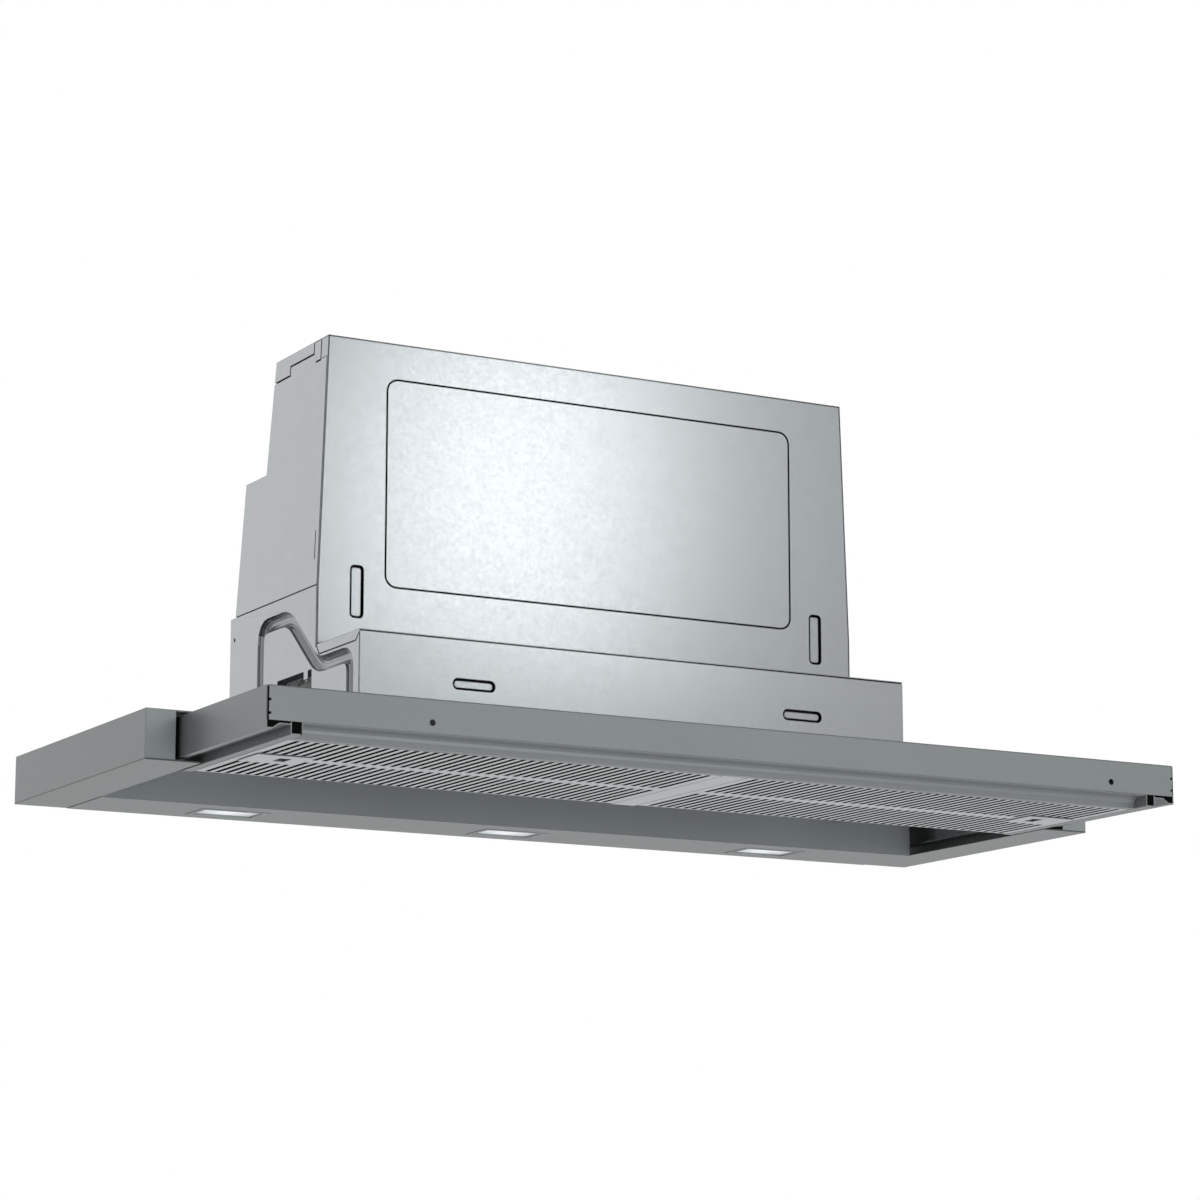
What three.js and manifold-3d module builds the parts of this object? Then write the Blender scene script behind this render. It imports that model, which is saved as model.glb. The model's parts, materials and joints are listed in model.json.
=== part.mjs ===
// A pull-out range hood for a wall cabinet, 898 mm wide: a flat frame with a lamp strip along the
// wall, a filter drawer that slides out of it on two telescopic runners, and above it a steel
// housing with the blower. Millimetres, +Z up, -Y towards the cook, +X to the cook's right.
// Sizes are worked out with y = 0 at the wall and z = 0 at the lowest faces, which are the rims of
// the lamps and the filters' latches. The last lines shift the whole model so that its origin is
// at the centre of the space that it covers.
import * as THREE from 'three';
import { mergeVertices } from 'three/addons/utils/BufferGeometryUtils.js';
import Module from 'manifold-3d';

const wasm = await Module();
wasm.setup();

// ---------------------------------------------------------------- driving dimensions

const seat = 0.2;                // gap between two pieces that rest on or against each other
const cut = 1;                   // how far a cutting tool runs past the face that it cuts

const frameWidth = 898;
const frameDepth = 290;
const frameHeight = 41.2;
const frameSheet = 1.2;
const sideFloor = 0.8;           // height of the underside along the frame's two sides
const capWidth = 25;             // width of the closed box along each side of the frame
const stripGap = 2.6;            // from the frame's underside strip to the tray's inner wall
const lampDepth = 79.6;          // depth of the lamp strip along the wall
const lampWallHeight = 35;
const deckRear = 10.7;           // distance of the top plates' back edge from the wall
const deckScrewRadius = 2.6;

const lampPitch = 270;
const lampOffset = 36;           // distance of the lamps' centre line from the wall
const lensLength = 54;
const lensWidth = 32;
const bezelRim = 4;              // width of the rim that shows round a lens
const bezelFlange = 2;           // how far a bezel's flange reaches over the strip's floor
const bezelHeight = 6;
const bezelProud = 0.4;          // how far the bezels stand out of the strip's floor
const bezelGap = 0.5;            // gap round a bezel in its window
const lensFloor = 1.6;
const lensThickness = 2;
const boardWidth = 18;
const boardSheet = 1.6;

const travel = 165;              // how far the drawer is pulled out in the photograph
const drawerGap = 4;             // from the drawer's outer wall to the frame's side box
const channelWidth = 20;         // from the drawer's outer wall to the tray's, with the runner
const drawerTop = 37;
const drawerSheet = 1;
const sideLip = 4.3;             // height of the side walls' lower edge
const channelRoof = 8.6;         // height of the channel that passes over the frame's strip
const trayLip = 0.8;             // height of the tray's underside
const trayGap = 1;               // running gap between the closed tray and the lamp strip
const sideFlange = 8.6;          // width of the ledge along each end of the tray
const frontLip = 10.6;           // height of the front face's lower edge
const coveDepth = 17.4;
const coveRadius = 7.6;
const coverDepth = 160;          // depth of the plate that covers the drawer behind its front
const frontHoleRadius = 2.5;
const frontHoleHeight = 18.8;
const frontHoles = [-283, 354];  // the two holes that the front panel is screwed through
const frontInset = 1.8;          // how far each end of the front stays behind the side walls
const notchHeights = [15.8, 26]; // of the small notches in each end of the front
const notchSize = 1.8;

const filterInner = 12;          // distance of each filter's inner end from the middle
const filterClear = 0.8;         // gap between a filter and the tray round it
const filterHeight = 8.4;
const filterSheet = 0.8;
const slotPitch = 8.35;
const slotWidth = 4.2;
const slotMargin = 8;            // from the last slot's middle to the filter's outer end, or more
const slotEdge = 2.8;            // from the ends of the slots to the filter's edge
const slotBridge = 12;           // bar between the two rows of slots
const slotStart = 10.5;          // from the filter's inner end to the middle of the first slot
const slotBlend = 6;             // slots shortened beside the latch
const latchLength = 46;
const latchWidth = 39;
const latchInset = 6;            // distance of the latch's recess from the filter's outer end
const latchStroke = 6;
const latchSheet = 1.4;
const latchFace = 0.6;           // thickness of the latch's face, which lies on the filter
const latchRim = 4;              // how far the face covers the opening under it all round
const latchOverlap = 3;          // how far the inner plate reaches past the face at rest
const latchPlay = 0.3;
const tongueHalf = 7;
const tongueFloor = 3.6;
const tongueTop = 6.2;
const meshGap = 1.2;
const meshSheet = 4;

const runnerLength = 240;
const runnerHeight = 22;
const runnerFloor = 11.5;        // height of the runners' lower edge
const runnerSheet = 1.2;
const runnerPlay = 0.3;
const railInset = 8;             // how far behind the front panel the drawer's own rail starts
const hangerWidth = 20;
const hangerInset = 12;          // keeps the front hanger behind the closed drawer's top flange
const middleShort = 40;          // the middle rail is this much shorter than the fixed one

const housingHalf = 262.2;       // half-width of the housing up to its seam
const sideTaper = 7;             // how much each side leans in from the seam to the top
const topHalf = housingHalf - sideTaper;
const housingSheet = 0.8;
const boxFront = 280;            // distance of the lower box's front from the wall
const boxTop = 122.7;
const towerFront = 195.8;        // distance of the tall front from the wall
const seamHeight = 173.3;
const housingTop = 389;
const lowerRear = 16.5;          // distance of the lower box's back from the wall
const towerRear = 26.5;          // distance of the tower's back from the wall, at the seam
const stepHeight = 290.5;
const stepInner = 78.9;          // distance of the corner step's front edge from the wall
const stepOuter = 35.8;
const stepTop = 88.9;            // distance of the stepped corner's back from the wall, at the top
const stepHalf = 192;            // half-width of the tower's back between the two stepped corners
const seam = 0.9;                // width of the joints that show between the housing's sheets
const lidJoint = 1.5;            // wider joints round the lid's flanges and the front's ears
const earHook = 9;               // length of the cut that runs back from each ear's lower corner
const ledgeFlange = 8.2;
const lidFlange = 10;
const lidFlangeDeep = 18;

const panelWidth = 401;
const panelBottom = 177;
const panelTop = 358;
const panelRadius = 11;
const panelGroove = 1.4;
const panelGrooveDepth = 1.6;
const pocketDepth = 1.6;
const moatWidth = 2;             // groove round the floor of each pocket
const moatDepth = 4;
const tallPocket = { x: 226, z: 171, width: 12.6, height: 45, radius: 4 };
const longPocket = { x: 158.5, z: 84.5, width: 39, height: 9.6, radius: 4.6 };

const swageWidth = 13;           // the channel pressed into each lower side plate
const swageDepth = 6;
const swageBend = 14;            // length of each straight run that its corners take up
const swagePath = [[-82, 84], [-82, 155], [-139, 155], [-197, 105], [-261.5, 105], [-261.5, 60]];
const sideHole = { back: 25.5, z: 154, radius: 1.7 };
const windowFront = 187;
const windowRear = 118;
const windowBottom = 78;
const windowTop = 103.5;
const windowTab = { front: 7.4, width: 8.4, height: 7 };   // tab that hangs from the window's top

const ductRadius = 73.5;         // outer radius of the outlet, for 150 mm pipe
const ductWall = 2;
const ductY = -119.5;
const ductHeight = 43;
const flapGap = 1;
const flapThickness = 1.5;
const spindleRadius = 2.5;
const knuckle = 4.6;             // outer radius of a flap's knuckle on the spindle
const knuckleLength = 30;
const flapArm = 8;               // distance of the knuckle from the duct's middle

const scrollX = -70;             // the blower's axis
const scrollZ = 250;
const scrollWall = 1.5;
const scrollDepth = 98;
const scrollStart = 84;          // the scroll's radius at its tongue and at its outlet
const scrollEnd = 115;
const tongueAngle = 60;
const inletRadius = 64;
const wheelRadius = 76;
const wheelInner = 62;
const wheelWidth = 84;
const bladeCount = 26;
const bladeSheet = 1.2;
const bladeLean = 35;
const hubRadius = 11;
const hubLength = 14;
const motorRadius = 42;
const motorLength = 36;
const shaftRadius = 4;
const shaftClear = 0.3;
const shaftDepth = 20;           // how far the shaft reaches into the motor
const bracketSheet = 1.5;
const beamZ = 127;
const beamSheet = 1.5;
const beamHalf = 25;
const beamFlange = 12;
const controlBox = { x: 90, z: 205, width: 100, depth: 42, height: 95 };
const terminalDepth = 16;

const glandRadius = 10;
const glandHeight = 12;
const glandNeck = 7;
const glandX = 223.6;
const glandY = -57.4;
const leadRadius = 3.7;
const plungerRadius = 1.5;
const plungerTip = 27;
const plungerStroke = 2;
const switchX = 320;
const switchReach = 8.5;         // distance of the plunger ahead of the closed drawer's back edge
const switchFloor = 30;

// ---------------------------------------------------------------- materials

const finish = (color, roughness, metalness) =>
  new THREE.MeshStandardMaterial({ color, roughness, metalness });
const zinc = finish(0xc3c8cc, 0.42, 0.85);
const paint = finish(0x868b8c, 0.45, 0.6);
const darkPaint = finish(0x5f6467, 0.55, 0.4);
const aluminium = finish(0xc6ccce, 0.35, 0.9);
const steel = finish(0x9a9fa2, 0.35, 0.9);
const lampWhite = finish(0xf4f6f7, 0.3, 0);
const blackPlastic = finish(0x1e2123, 0.6, 0);
const greyPlastic = finish(0xa9adb0, 0.5, 0);
const boardGreen = finish(0x2f5a42, 0.6, 0);

// ---------------------------------------------------------------- solids

// A closed three.js geometry as a manifold-3d solid.
function solid(geometry) {
  const bare = geometry.clone();
  bare.deleteAttribute('normal');
  bare.deleteAttribute('uv');
  const merged = mergeVertices(bare, 1e-4);
  return new wasm.Manifold(new wasm.Mesh({
    numProp: 3,
    vertProperties: new Float32Array(merged.attributes.position.array),
    triVerts: new Uint32Array(merged.index.array),
  }));
}

// A manifold-3d solid as a three.js geometry with flat faces.
function geometryOf(body) {
  const mesh = body.getMesh();
  const indexed = new THREE.BufferGeometry();
  const points = new Float32Array(mesh.numVert * 3);
  for (let i = 0; i < mesh.numVert; i++) {
    for (let k = 0; k < 3; k++) points[3 * i + k] = mesh.vertProperties[mesh.numProp * i + k];
  }
  indexed.setAttribute('position', new THREE.BufferAttribute(points, 3));
  indexed.setIndex(new THREE.BufferAttribute(new Uint32Array(mesh.triVerts), 1));
  const flat = indexed.toNonIndexed();
  flat.computeVertexNormals();
  return flat;
}

const join = (...bodies) => bodies.reduce((whole, body) => whole.add(body));
const carve = (body, ...tools) => tools.reduce((rest, tool) => rest.subtract(tool), body);

// A solid whose points are moved by a rule. A rule that mirrors also turns each face round.
function moved(body, rule, mirrors = false) {
  const geometry = geometryOf(body);
  const { array } = geometry.attributes.position;
  const point = new THREE.Vector3();
  for (let i = 0; i < array.length; i += 3) {
    point.fromArray(array, i);
    rule(point);
    point.toArray(array, i);
  }
  if (mirrors) {
    for (let i = 0; i < array.length; i += 9) {
      const second = array.slice(i + 3, i + 6);
      array.copyWithin(i + 3, i + 6, i + 9);
      array.set(second, i + 6);
    }
  }
  return solid(geometry);
}

// The solid on the other side of the hood's middle.
const mirror = (body) => moved(body, (point) => { point.x = -point.x; }, true);

// A box from one corner to the other.
function block(x0, x1, y0, y1, z0, z1) {
  const box = new THREE.BoxGeometry(x1 - x0, y1 - y0, z1 - z0);
  return solid(box.translate((x0 + x1) / 2, (y0 + y1) / 2, (z0 + z1) / 2));
}

function shapeOf(outline) {
  if (outline instanceof THREE.Shape) return outline;
  return new THREE.Shape(outline.map(([a, b]) => new THREE.Vector2(a, b)));
}

function extruded(outline, depth) {
  return new THREE.ExtrudeGeometry(shapeOf(outline), {
    depth,
    bevelEnabled: false,
    curveSegments: 6,
  });
}

const basisX = new THREE.Matrix4().makeBasis(
  new THREE.Vector3(0, 1, 0), new THREE.Vector3(0, 0, 1), new THREE.Vector3(1, 0, 0));
const basisY = new THREE.Matrix4().makeBasis(
  new THREE.Vector3(1, 0, 0), new THREE.Vector3(0, 0, 1), new THREE.Vector3(0, -1, 0));

// An outline in (y, z) run along X, in (x, z) along Y, and in (x, y) along Z.
function alongX(outline, x0, x1) {
  return solid(extruded(outline, x1 - x0).applyMatrix4(basisX).translate(x0, 0, 0));
}

function alongY(outline, y0, y1) {
  return solid(extruded(outline, y1 - y0).applyMatrix4(basisY).translate(0, y1, 0));
}

function alongZ(outline, z0, z1) {
  return solid(extruded(outline, z1 - z0).translate(0, 0, z0));
}

// A rounded rectangle as a shape, with its centre at (a, b).
function roundedShape(a, b, width, height, radius) {
  const shape = new THREE.Shape();
  const w = width / 2 - radius;
  const h = height / 2 - radius;
  shape.absarc(a + w, b - h, radius, -Math.PI / 2, 0, false);
  shape.absarc(a + w, b + h, radius, 0, Math.PI / 2, false);
  shape.absarc(a - w, b + h, radius, Math.PI / 2, Math.PI, false);
  shape.absarc(a - w, b - h, radius, Math.PI, Math.PI * 1.5, false);
  shape.closePath();
  return shape;
}

// At each point of a path, the mitred sideways step that keeps an even width of 2.
function miters(path) {
  const points = path.map(([a, b]) => new THREE.Vector2(a, b));
  return points.map((point, i) => {
    const into = point.clone().sub(points[Math.max(i - 1, 0)]);
    const out = points[Math.min(i + 1, points.length - 1)].clone().sub(point);
    if (i === 0) into.copy(out);
    if (i === points.length - 1) out.copy(into);
    into.normalize();
    const mid = out.normalize().add(into).normalize();
    return new THREE.Vector2(-mid.y, mid.x).divideScalar(mid.dot(into));
  });
}

// The outline of a bent strip: a path of points with an even width on both sides of it.
function strip(path, width) {
  const side = miters(path);
  const edge = (sign) => path.map(([a, b], i) => [
    a + sign * side[i].x * width / 2, b + sign * side[i].y * width / 2]);
  return [...edge(-1), ...edge(1).reverse()];
}

// A bar with an oval section run along a path in (y, z) at x, half across wide and half deep.
function ovalBar(path, x, across, deep, sides = 16) {
  const step = miters(path);
  const points = path.flatMap(([a, b], i) => Array.from({ length: sides }, (_, k) => {
    const angle = (k / sides) * 2 * Math.PI;
    const reach = across * Math.cos(angle);
    return [x + deep * Math.sin(angle), a + step[i].x * reach, b + step[i].y * reach];
  }));
  const faces = [];
  for (let i = 0; i + 1 < path.length; i++) {
    for (let k = 0; k < sides; k++) {
      const [p, q] = [i * sides + k, i * sides + (k + 1) % sides];
      faces.push(p, q, p + sides, q, q + sides, p + sides);
    }
  }
  const last = (path.length - 1) * sides;
  for (let k = 1; k + 1 < sides; k++) faces.push(0, k + 1, k, last, last + k, last + k + 1);
  const bar = new THREE.BufferGeometry();
  bar.setAttribute('position', new THREE.Float32BufferAttribute(points.flat(), 3));
  bar.setIndex(faces);
  return solid(bar);
}

// A path whose corners are rounded, each by a short arc of a few points.
function rounded(path, radius, steps = 3) {
  const points = path.map(([a, b]) => new THREE.Vector2(a, b));
  const curve = [];
  points.forEach((point, i) => {
    if (i === 0 || i === points.length - 1) {
      curve.push([point.x, point.y]);
      return;
    }
    const start = point.clone().lerp(points[i - 1], radius / point.distanceTo(points[i - 1]));
    const end = point.clone().lerp(points[i + 1], radius / point.distanceTo(points[i + 1]));
    const bend = new THREE.QuadraticBezierCurve(start, point, end);
    for (const p of bend.getPoints(steps)) curve.push([p.x, p.y]);
  });
  return curve;
}

// A cylinder along an axis, from one end to the other.
function rod(axis, a, b, from, to, radius, sides = 24) {
  const drum = new THREE.CylinderGeometry(radius, radius, to - from, sides);
  const middle = (from + to) / 2;
  if (axis === 'x') drum.rotateZ(-Math.PI / 2).translate(middle, a, b);
  if (axis === 'y') drum.translate(a, middle, b);
  if (axis === 'z') drum.rotateX(Math.PI / 2).translate(a, b, middle);
  return solid(drum);
}

const hood = new THREE.Group();

function add(name, body, material) {
  const mesh = new THREE.Mesh(geometryOf(body), material);
  mesh.name = name;
  hood.add(mesh);
}

// A piece on the cook's left and its mirror image on the right.
function addPair(name, body, material) {
  add(`${name}_left`, body, material);
  add(`${name}_right`, mirror(body), material);
}

// ---------------------------------------------------------------- frame

const sideX = -frameWidth / 2;
const capX = sideX + capWidth;
const drawerX = capX + drawerGap;
const trayHalf = -drawerX - channelWidth;
const stripX = -trayHalf - stripGap;
const half = frameSheet / 2;

// Box section along the frame's side, with the underside strip that reaches in under the drawer.
function frameSide() {
  const section = strip([
    [stripX, sideFloor + half], [sideX + half, sideFloor + half],
    [sideX + half, frameHeight - half], [capX - half, frameHeight - half],
    [capX - half, sideFloor + frameSheet + seat],
  ], frameSheet);
  return alongY(section, -frameDepth + frameSheet + seat, 0);
}

function endCap() {
  const top = sideFloor + frameSheet;
  const face = [
    [sideX, sideFloor], [stripX, sideFloor], [stripX, top], [capX, top],
    [capX, frameHeight], [sideX, frameHeight],
  ];
  return alongY(face, -frameDepth, -frameDepth + frameSheet);
}

// Lamp strip along the wall: floor with three windows, front wall, back wall and top flange.
const lampHalf = -stripX - seam / 2;
const lampFront = -lampDepth;
const lampCentres = [-lampPitch, 0, lampPitch];

function lampStrip() {
  const floor = bezelProud + half;
  const section = strip([
    [lampFront + 12, lampWallHeight], [lampFront + half, lampWallHeight],
    [lampFront + half, floor], [-half, floor],
    [-half, frameHeight - half], [-deckRear + seat, frameHeight - half],
  ], frameSheet);
  const windows = lampCentres.map((x) => lampBlock(x, bezelRim + bezelGap, 0, floor + half + cut));
  return carve(alongX(section, -lampHalf, lampHalf), ...windows);
}

// A box centred on a lamp, a margin wider than the lens all round.
function lampBlock(x, margin, z0, z1) {
  const [dx, dy] = [lensLength / 2 + margin, lensWidth / 2 + margin];
  return block(x - dx, x + dx, -lampOffset - dy, -lampOffset + dy, z0, z1);
}

// Bezel: its rim fills the window in the strip and its flange rests on the strip's floor.
function lampBezel(x) {
  const top = bezelProud + frameSheet + bezelHeight;
  return carve(
    join(
      lampBlock(x, bezelRim, 0, top),
      lampBlock(x, bezelRim + bezelFlange, bezelProud + frameSheet + seat, top)),
    lampBlock(x, seat, -cut, top + cut));
}

function lampLens(x) {
  return lampBlock(x, 0, lensFloor, lensFloor + lensThickness);
}

// Circuit board with the light-emitting diodes, one strip above all three lenses.
const boardFloor = bezelProud + frameSheet + bezelHeight + seat;

function ledBoard() {
  const reach = lampPitch + lensLength / 2 + bezelRim;
  return block(
    -reach, reach, -lampOffset - boardWidth / 2, -lampOffset + boardWidth / 2,
    boardFloor, boardFloor + boardSheet);
}

// Top plate over each wing of the frame, with two screw holes for the cabinet.
function deck() {
  const inner = -housingHalf - seat;
  const plate = block(
    capX + seat, inner, -frameDepth, -deckRear, frameHeight - frameSheet, frameHeight);
  const holes = [-frameDepth * 0.8, -frameDepth * 0.2].map((y) =>
    rod('z', (capX + inner) / 2, y, 0, frameHeight + cut, deckScrewRadius, 16));
  return carve(plate, ...holes);
}

// Rail across the front of the frame, under the lower box.
const railDepth = 24;

function frontRail() {
  return block(
    -housingHalf, housingHalf, -frameDepth, -frameDepth + railDepth,
    frameHeight - frameSheet, frameHeight);
}

addPair('frame_side', frameSide(), paint);
addPair('end_cap', endCap(), paint);
add('lamp_strip', lampStrip(), paint);
['left', 'middle', 'right'].forEach((place, i) => {
  add(`lamp_bezel_${place}`, lampBezel(lampCentres[i]), greyPlastic);
  add(`lamp_lens_${place}`, lampLens(lampCentres[i]), lampWhite);
});
add('led_board', ledBoard(), boardGreen);
addPair('deck', deck(), paint);
add('front_rail', frontRail(), paint);

// ---------------------------------------------------------------- drawer

const drawerFront = -frameDepth - travel;
const trayRear = -lampDepth - trayGap - travel;
const trayFront = drawerFront + coveDepth;
const thin = drawerSheet / 2;
const coveHalf = trayHalf - sideFlange - seat;

// Front: a bent sheet whose lower part turns back into the finger recess, with the recess's ends.
function drawerFrontPanel() {
  const face = strip([
    [drawerFront + 14, drawerTop - thin], [drawerFront + thin, drawerTop - thin],
    [drawerFront + thin, frontLip],
  ], drawerSheet);
  const coveTop = frontLip - thin;
  const arcY = trayFront - coveRadius;
  const arc = [0, 1, 2, 3, 4].map((i) => {
    const turn = (i / 4) * Math.PI / 2;
    return [arcY + coveRadius * Math.sin(turn), coveTop - coveRadius * (1 - Math.cos(turn))];
  });
  const cove = strip([
    [drawerFront + thin, coveTop], ...arc, [trayFront, trayLip + thin],
    [trayFront + 7, trayLip + thin],
  ], drawerSheet);
  const end = block(
    -coveHalf, -coveHalf + drawerSheet, drawerFront, trayFront + thin, trayLip, frontLip);
  const whole = join(
    alongX(face, drawerX + frontInset, -drawerX - frontInset),
    alongX(cove, -coveHalf, coveHalf), end, mirror(end));
  const holes = frontHoles.map((x) =>
    rod('y', x, frontHoleHeight, drawerFront - cut, drawerFront + cut + drawerSheet,
      frontHoleRadius, 20));
  const notches = notchHeights.map((z) => block(
    drawerX, drawerX + frontInset + notchSize, drawerFront - cut, drawerFront + drawerSheet + cut,
    z - notchSize / 2, z + notchSize / 2));
  return carve(whole, ...holes, ...notches, ...notches.map(mirror));
}

// Side: outer wall, the channel that passes over the frame's strip, inner wall and ledge.
const channelIn = 11;            // width over which the channel rises from the outer wall

function drawerSide() {
  const section = strip([
    [drawerX + thin, drawerTop], [drawerX + thin, sideLip + thin],
    [drawerX + channelIn / 2, sideLip + thin], [drawerX + channelIn, channelRoof],
    [-trayHalf + thin, channelRoof], [-trayHalf + thin, trayLip + thin],
    [-trayHalf + sideFlange, trayLip + thin],
  ], drawerSheet);
  const front = drawerFront + drawerSheet + seat;
  const floor = alongY(section, front, trayRear);
  const wall = block(
    -trayHalf, -trayHalf + drawerSheet,
    front, trayRear, channelRoof, drawerTop - drawerSheet - seat);
  return join(floor, wall);
}

// Cover over the pulled-out part of the drawer. It ends ahead of the opening to the blower.
function drawerCover() {
  return block(
    -trayHalf + seat, trayHalf - seat,
    drawerFront + 14 + seat, drawerFront + 14 + coverDepth, drawerTop - drawerSheet, drawerTop);
}

// Bars of the tray: one behind the filters, with the tab that works the drawer's switch, and one
// between the filters.
const barWidth = 2 * (filterInner - filterClear);
const barHeight = 12;
const rearBarDepth = 4.5;

function rearBar() {
  const inner = trayHalf - drawerSheet - seat;
  const ledge = filterHeight + trayLip + filterClear;
  const wall = block(-inner, inner, trayRear - 1.4, trayRear, ledge, ledge + barHeight);
  const lip = block(-inner, inner, trayRear - rearBarDepth - 8, trayRear, ledge, ledge + 1.2);
  const tab = block(
    switchX - 5, switchX + 5, trayRear - switchReach - 0.7, trayRear - switchReach + 0.7,
    ledge, plungerTip - latchPlay);
  return join(wall, lip, tab);
}

function centreBar() {
  const top = filterHeight + trayLip + filterClear - seat;
  return block(
    -barWidth / 2, barWidth / 2, trayFront + 7 + seat, trayRear, trayLip, top);
}

add('drawer_front', drawerFrontPanel(), paint);
addPair('drawer_side', drawerSide(), paint);
add('drawer_cover', drawerCover(), paint);
add('tray_rear_bar', rearBar(), paint);
add('tray_centre_bar', centreBar(), aluminium);

// ---------------------------------------------------------------- filters

const filterOuter = trayHalf - sideFlange - filterClear;
const filterY0 = trayFront + 7 + filterClear;
const filterY1 = trayRear - rearBarDepth;
const filterMiddle = (filterY0 + filterY1) / 2;
const latchX0 = -filterOuter + latchInset;
const latchX1 = latchX0 + latchLength;

// Cassette: a shallow pan with two rows of slots and an opening for the latch.
function filterPan() {
  const floor = trayLip;
  const pan = block(-filterOuter, -filterInner, filterY0, filterY1, floor, floor + filterHeight);
  const hollow = block(
    -filterOuter + filterSheet, -filterInner - filterSheet,
    filterY0 + filterSheet, filterY1 - filterSheet, floor + filterSheet, floor + filterHeight + cut);
  const tools = [hollow];
  const first = filterInner + slotStart;
  const slotCount = 1 + Math.floor((filterOuter - slotMargin - first) / slotPitch);
  for (let i = 0; i < slotCount; i++) {
    const x = -first - i * slotPitch;
    const short = i >= slotCount - slotBlend;
    const start = short ? latchWidth / 2 + 1.5 : slotBridge / 2;
    const end = (filterY1 - filterY0) / 2 - slotEdge;
    for (const side of [-1, 1]) {
      const [a, b] = [filterMiddle + side * start, filterMiddle + side * end].sort((p, q) => p - q);
      tools.push(block(
        x - slotWidth / 2, x + slotWidth / 2, a, b, floor - cut, floor + filterSheet + cut));
    }
  }
  tools.push(block(
    latchX0 + latchRim, latchX1 - latchRim, filterMiddle - latchWidth / 2 + latchRim,
    filterMiddle + latchWidth / 2 - latchRim, floor - cut, floor + filterSheet + cut));
  tools.push(block(
    -filterOuter - cut, -filterOuter + filterSheet + cut, filterMiddle - tongueHalf - latchPlay,
    filterMiddle + tongueHalf + latchPlay, tongueFloor - latchPlay, tongueTop + latchPlay));
  return carve(pan, ...tools);
}

// Pack of expanded aluminium mesh that lies in the pan.
function filterMesh() {
  const edge = filterSheet + seat;
  const floor = trayLip + filterSheet + meshGap;
  const pack = block(
    -filterOuter + edge, -filterInner - edge, filterY0 + edge, filterY1 - edge,
    floor, floor + meshSheet);
  const room = block(
    -filterOuter, latchX1 + latchOverlap + latchStroke + 1, filterMiddle - latchWidth / 2 - 2,
    filterMiddle + latchWidth / 2 + 2, floor - cut, floor + meshSheet + cut);
  return carve(pack, room);
}

// Latch: a face under the pan and a plate inside it, joined through the pan's opening, a finger
// hole through both, and the tongue that reaches out through the pan's end. The tongue stops just
// short of the tray's ledge.
function latch() {
  const floor = trayLip + filterSheet + latchPlay;
  const plate = block(
    -filterOuter + filterSheet + latchPlay, latchX1 + latchOverlap,
    filterMiddle - latchWidth / 2 - 1, filterMiddle + latchWidth / 2 + 1,
    floor, floor + latchSheet);
  const low = trayLip - seat - latchFace;
  const face = block(
    latchX0, latchX1, filterMiddle - latchWidth / 2, filterMiddle + latchWidth / 2,
    low, trayLip - seat);
  const side = latchRim + latchPlay;
  const web = block(
    latchX0 + side, latchX1 - side - latchStroke, filterMiddle - latchWidth / 2 + side,
    filterMiddle + latchWidth / 2 - side, low, floor + latchSheet);
  const holeEnd = latchX1 - side - latchStroke - 2;
  const hole = block(
    holeEnd - 10, holeEnd, filterMiddle - 8, filterMiddle + 8,
    low - cut, floor + latchSheet + cut);
  const tongue = block(
    -trayHalf + sideFlange + latchPlay, latchX0 + 8, filterMiddle - tongueHalf,
    filterMiddle + tongueHalf, tongueFloor, tongueTop);
  const foot = block(
    latchX0 - 1, latchX0 + 8, filterMiddle - tongueHalf, filterMiddle + tongueHalf,
    floor + latchSheet / 2, tongueTop);
  return carve(join(plate, face, web, tongue, foot), hole);
}

addPair('filter_pan', filterPan(), aluminium);
addPair('filter_mesh', filterMesh(), aluminium);
addPair('filter_latch', latch(), aluminium);

// ---------------------------------------------------------------- runners

// Telescopic runner in each side channel: one rail hangs from the deck, one is on the drawer's
// inner wall, and one slides between them at half the drawer's speed.
const runnerTop = runnerFloor + runnerHeight;
const runnerFront = -frameDepth + 6;
const fixedX = drawerX + drawerSheet + 1;
const drawnX = -trayHalf - seat;
const webX = (fixedX + drawnX) / 2;
const lipStep = runnerSheet + runnerPlay;

// Two lips that run along Y, each nested a number of steps inside the outer rail.
function lips(x0, x1, y0, y1, depth) {
  const low = runnerFloor + depth * lipStep;
  const high = runnerTop - depth * lipStep;
  return join(
    block(x0, x1, y0, y1, low, low + runnerSheet),
    block(x0, x1, y0, y1, high - runnerSheet, high));
}

function web(x, y0, y1, depth) {
  const inset = depth * lipStep;
  return block(x, x + runnerSheet, y0, y1, runnerFloor + inset, runnerTop - inset);
}

function fixedRail() {
  const rear = runnerFront + runnerLength;
  const hanger = (y) => block(
    fixedX, fixedX + runnerSheet, y, y + hangerWidth, runnerTop - cut,
    frameHeight - frameSheet - seat);
  return join(
    web(fixedX, runnerFront, rear, 0), lips(fixedX, webX - runnerPlay, runnerFront, rear, 0),
    hanger(runnerFront + hangerInset), hanger(rear - hangerWidth));
}

function middleRail() {
  const front = runnerFront - travel / 2;
  const rear = front + runnerLength - middleShort;
  return join(
    web(webX, front, rear, 1),
    lips(fixedX + runnerSheet + runnerPlay, drawnX - runnerSheet - runnerPlay, front, rear, 1));
}

function drawerRail() {
  const front = drawerFront + drawerSheet + seat + railInset;
  return join(
    web(drawnX - runnerSheet, front, trayRear, 0),
    lips(webX + runnerSheet + runnerPlay, drawnX, front, trayRear, 2));
}

addPair('runner_fixed', fixedRail(), steel);
addPair('runner_middle', middleRail(), steel);
addPair('runner_drawer', drawerRail(), steel);

// ---------------------------------------------------------------- housing

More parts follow.
